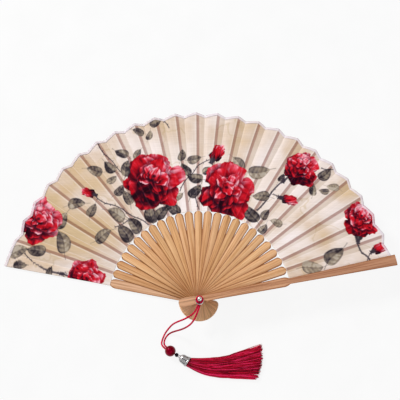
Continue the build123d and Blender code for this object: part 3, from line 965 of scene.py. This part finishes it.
def make_section(number, silk, binding):
    """The cloth between two sticks, with one pleat and its part of the print."""
    rows = np.linspace(0, 1, RADIAL_STEPS + 1)
    radius, arc, height, zone = section_grid(number, rows)
    count, columns = radius.shape
    points = section_points(number, radius, arc, height).reshape(-1, 3)
    obj = mesh_object(f"leaf_section_{number:02d}", points, grid_faces(count, columns), silk)
    set_colours(obj.data, section_paint(number, radius, arc, zone))
    set_rest_uv(obj.data)
    thick = obj.modifiers.new("cloth", "SOLIDIFY")
    thick.thickness = CLOTH_THICKNESS
    thick.offset = 1.0
    blend_section(obj)
    hem = make_hem(number, binding)
    panels = [f"leaf_panel_{number - 1:02d}"]
    if number == FRONT:
        panels.append(f"leaf_panel_{FRONT:02d}")
    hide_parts(*panels)


# ---- sticks ----
def assign(node_name, material):
    """Puts one material in every slot of a CAD node."""
    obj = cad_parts[node_name]
    if not obj.material_slots:
        obj.data.materials.append(material)
    for slot in obj.material_slots:
        slot.link = "OBJECT"
        slot.material = material


def dress_sticks():
    """Every stick gets its own grain direction and a shade a little off its neighbours'."""
    finishes = {0: REAR_GUARD_WOOD, FRONT: FRONT_GUARD_WOOD}
    chance = np.random.default_rng(5)
    for number in range(FRONT + 1):
        name = stick_body(number)
        tone = 1.0 + chance.uniform(-0.06, 0.05)
        shade = (tone, tone * chance.uniform(0.985, 1.01), tone * chance.uniform(0.96, 1.02))
        finish = finishes.get(number, RIB_WOOD)
        assign(name, wood(f"{name}_wood", stick_angle(number), shade, **finish))


# ---- tassel ----
LEFT_ROUTE = [
    (-0.85, -3.80, 28.70), (-1.95, -7.60, 28.80), (-4.10, -12.00, 28.95), (-8.60, -15.90, 29.20),
    (-14.30, -18.90, 29.55), (-20.00, -20.90, 25.80), (-24.30, -22.90, 16.50), (-27.80, -26.30, 6.20),
    (-31.20, -30.90, 1.20), (-33.30, -36.10, 0.95), (-34.40, -41.00, 2.60), (-31.08, -44.82, 5.25),
    (-26.03, -47.74, 5.25),
]
RIGHT_ROUTE = [
    (0.85, -3.80, 28.70), (-0.15, -7.40, 28.80), (-1.75, -12.20, 28.95), (-3.70, -17.30, 29.20),
    (-6.90, -22.40, 29.55), (-11.40, -25.60, 24.00), (-16.20, -27.50, 14.00), (-21.60, -28.60, 4.60),
    (-26.90, -30.60, 1.10), (-30.40, -34.40, 0.95), (-32.00, -39.40, 2.20), (-30.70, -43.07, 5.25),
    (-25.18, -46.26, 5.25),
]


def in_metres(route):
    return [tuple(value * MM for value in point) for point in route]


def make_cords(silk):
    """Both strands of the doubled cord, from the hitch at the rivet to the bead."""
    for side, route, length in (("left", LEFT_ROUTE, 0.0790), ("right", RIGHT_ROUTE, 0.0774)):
        points = in_metres(route)
        cord = cord_tube(f"tassel_cord_{side}", points, silk)
        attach(cord, "rear_guard")
        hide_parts(f"cord_strand_{side}")


def make_hitch(silk):
    """The cord's loop round the rivet's neck, with its two ends going down through the ring."""
    left = [
        (-0.85, -2.95, 28.10), (-0.90, -2.95, 29.60), (-1.20, -3.00, 31.10), (-2.10, -2.60, 31.45),
        (-2.95, -1.30, 31.40), (-2.75, 0.70, 31.40), (-1.10, 2.35, 31.40),
    ]
    right = [(-x, y, z) for x, y, z in reversed(left)]
    hitch = cord_tube("tassel_cord_hitch", in_metres(left + right), silk)
    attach(hitch, "rear_guard")
    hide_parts("cord_hitch")


def tassel_frame():
    """Matrix from the tassel's own axis, +Z towards the threads, to the row frame."""
    lay = Matrix.Rotation(math.radians(TASSEL_ANGLE), 4, "Z") @ Matrix.Rotation(math.radians(90), 4, "Y")
    return Matrix.Translation(BEAD_CENTRE) @ lay


# The cap in its own frame, in mm: places along it and its radii there.
CAP_PROFILE = [(0.0, 1.3), (1.3, 1.7), (2.6, 3.3), (4.0, 4.1), (9.0, 4.75), (10.4, 5.2)]
CAP_MOUTH = CAP_PROFILE[-1][0]
CAP_WALL = 0.6
CAP_HOLLOW = 7.6
CAP_PANELS = 8
CAP_PEARLS = 24


def cap_outside(at, turn):
    """Radius of the cap's outside and how deep in a groove it lies, both at a place along and around."""
    panel = abs(math.sin(CAP_PANELS / 2 * turn))
    edge = ease(0.0, 0.32, panel)
    body = ease(3.4, 4.0, at) * ease(8.9, 8.4, at)
    arch = ease(0.15, 0.45, 1.15 - math.hypot((at - 6.2) / 3.0, (1 - panel) * 1.2))
    pearl_row = min(1.0, ease(0.5, 0.0, abs(at - 2.3)) + ease(0.45, 0.0, abs(at - 9.3)))
    pearl = abs(math.sin(CAP_PEARLS / 2 * turn))
    base = np.interp(at, *zip(*CAP_PROFILE))
    radius = base - 0.08 - 0.22 * body * (1 - edge) + 0.05 * body * arch + 0.16 * pearl_row * pearl
    groove = 0.95 * body * (1 - edge * arch) + 0.7 * pearl_row * (1 - pearl)
    return radius, min(groove, 1.0)


def make_cap(silver):
    """A cast bell: beaded neck ring, eight raised panels between grooves, and a beaded lip."""
    around = 96
    along = 64
    rings = [(row / along * CAP_MOUTH, False) for row in range(along + 1)]
    rings += [(CAP_MOUTH - row / along * CAP_HOLLOW, True) for row in range(along + 1)]
    place = tassel_frame() @ Matrix.Translation((0, 0, CAP_AT))
    points = []
    grooves = []
    for at, inside in rings:
        for column in range(around):
            turn = 2 * math.pi * column / around
            radius, groove = cap_outside(at, turn)
            if inside:
                radius = np.interp(at, *zip(*CAP_PROFILE)) - CAP_WALL
                groove = 0.9
            points.append(place @ (Vector((radius * math.cos(turn), radius * math.sin(turn), at)) * MM))
            grooves.append(groove)
    cap = mesh_object("tassel_cap_cast", points, tube_faces(len(rings), around), silver)
    float_layer(cap, "groove", grooves)
    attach(cap, "rear_guard")
    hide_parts("tassel_cap")
    return cap


def spline_through(knots, share):
    """Smooth path through a few places (Catmull-Rom), at shares from 0 to 1."""
    knots = np.array(knots, float)
    padded = np.vstack([2 * knots[0] - knots[1], knots, 2 * knots[-1] - knots[-2]])
    spot = np.clip(share, 0, 0.999999) * (len(knots) - 1)
    index = spot.astype(int)
    t = (spot - index)[:, None]
    a, b, c, d = (padded[index + step] for step in range(4))
    return 0.5 * (2 * b + (c - a) * t + (2 * a - 5 * b + 4 * c - d) * t**2 + (3 * b - a - 3 * c + d) * t**3)


# The brush seen from above, in mm: its two edges from the cap to the threads' ends.
SKIRT_UPPER = [(-6.9, -53.1), (8.8, -53.0), (25.0, -50.8), (42.0, -46.1), (61.5, -39.0)]
SKIRT_LOWER = [(-10.7, -60.0), (0.8, -65.6), (13.6, -69.0), (31.0, -70.5), (58.2, -70.6)]
THREADS = 400
THREAD_STEPS = 34
THREAD_SIDES = 5


def thread_path(chance):
    """A thread's path in mm, and its level in the brush from -1 to 1."""
    across = chance.uniform(0, 1)
    level = chance.uniform(-1, 1)
    end = chance.uniform(0.95, 1.0) if chance.random() < 0.8 else chance.uniform(0.84, 0.95)
    share = np.linspace(0, end, THREAD_STEPS)
    flat = (1 - across) * spline_through(SKIRT_LOWER, share) + across * spline_through(SKIRT_UPPER, share)
    flat[:, 0] += 2.2 * share**2 * (1 - (2 * across - 1) ** 2)
    wave = chance.uniform(0.3, 1.3) * share
    phase = chance.uniform(0, 6.28, 2)
    rate = chance.uniform(7, 17)
    flat[:, 0] += 0.3 * wave * np.sin(rate * share + phase[0])
    flat[:, 1] += 0.9 * wave * np.sin(rate * share + phase[1])
    round_off = math.sqrt(max(0.03, 1 - (2 * across - 1) ** 2))
    centre = 3.0 + 2.2 * np.exp(-5 * share) - 0.7 * share
    spread = 2.15 + 1.5 * np.exp(-6 * share) - 0.9 * share
    height = centre + level * spread * round_off + 0.25 * share * np.sin(rate * 1.3 * share + phase[1])
    return np.column_stack([flat, np.clip(height, 0.55, 9.0)]), level


def rings_round(path, radii, sides):
    """Rings of points round a path, one after another."""
    tangent = np.gradient(path, axis=0)
    tangent /= np.linalg.norm(tangent, axis=1)[:, None]
    side = np.cross(tangent, [0, 0, 1.0])
    side /= np.linalg.norm(side, axis=1)[:, None]
    up = np.cross(side, tangent)
    turn = -2 * math.pi * np.arange(sides)[None, :, None] / sides
    spokes = np.cos(turn) * side[:, None] + np.sin(turn) * up[:, None]
    return (path[:, None] + radii[:, None, None] * spokes).reshape(-1, 3)


def make_threads(silk):
    """The brush: many fine threads that leave the cap as a round bundle and lie down in a flat fan."""
    chance = np.random.default_rng(23)
    points = []
    faces = []
    tones = []
    for _ in range(THREADS):
        path, level = thread_path(chance)
        radii = np.full(THREAD_STEPS, chance.uniform(0.28, 0.46))
        radii[-1] *= 0.55
        faces += tube_faces(THREAD_STEPS, THREAD_SIDES, len(points))
        points += list(rings_round(path, radii, THREAD_SIDES) * MM)
        # A random tone plus painted shade by level: darker low in the brush, lighter on top.
        tone = np.clip(0.46 + 0.16 * level + chance.normal(0, 0.30), 0.02, 1.0)
        tones += [tone] * (THREAD_STEPS * THREAD_SIDES)
    brush = mesh_object("tassel_threads", points, faces, silk)
    float_layer(brush, "thread", tones)
    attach(brush, "rear_guard")
    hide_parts("tassel_skirt")


# ---- floor and light ----
def make_stage():
    n = surface("floor_paper", Roughness=0.9, Emission_Strength=0.89)
    paper = n.noise(n.coordinates(), 30.0, 3.0)
    n.into(n.ramp(paper, [(0.3, grey(0.05)), (0.7, grey(0.055))]), "Base Color")
    n.into(n.ramp(paper, [(0.3, grey(0.99)), (0.7, grey(1.0))]), "Emission Color")
    floor = mesh_object("floor", [(-4, -4, 0), (4, -4, 0), (4, 4, 0), (-4, 4, 0)], [(0, 1, 2, 3)], n.owner)


def make_light(name, place, size, power):
    data = bpy.data.lights.new(name, "AREA")
    data.shape = "DISK"
    data.size = size
    data.energy = power
    lamp = add_object(name, data)
    lamp.location = place
    lamp.rotation_euler = (Vector((0, 0.05, 0)) - Vector(place)).to_track_quat("-Z", "Y").to_euler()


def make_lights():
    world = bpy.data.worlds.new("studio")
    bpy.context.scene.world = world
    n = Nodes(world, "Background", Strength=0.72)
    height = n.split(n.add("ShaderNodeTexCoord").outputs["Generated"])["Z"]
    n.into(n.ramp(height, [(0.0, grey(1.0)), (0.6, grey(0.5))]), "Color")
    make_light("key", (-1.6, 1.4, 1.5), 0.6, 60.0)
    make_light("fill", (1.2, -1.3, 2.0), 1.6, 15.0)
    bpy.context.scene.view_settings.view_transform = "Standard"


# ---- everything ----
make_camera()
satin = cord_silk()
cap = make_cap(aged_silver())
make_threads(tassel_silk())
make_cords(satin)
make_hitch(satin)
assign("tassel_bead", glass_bead("red_glass", rgb(84, 0, 2), rgb(142, 0, 42)))
assign("tassel_spacer_bead", glass_bead("black_glass", rgb(8, 7, 9), rgb(40, 34, 44)))
assign("tassel_core_cord", satin)
steel = bright_steel()
assign("pivot_rivet", steel)
assign("rivet_ring", steel)
dress_sticks()
silk = printed_silk("printed_silk", 0.62)
binding = printed_silk("binding_silk", 0.5)
for section in range(1, FRONT + 1):
    make_section(section, silk, binding)
make_stage()
make_lights()
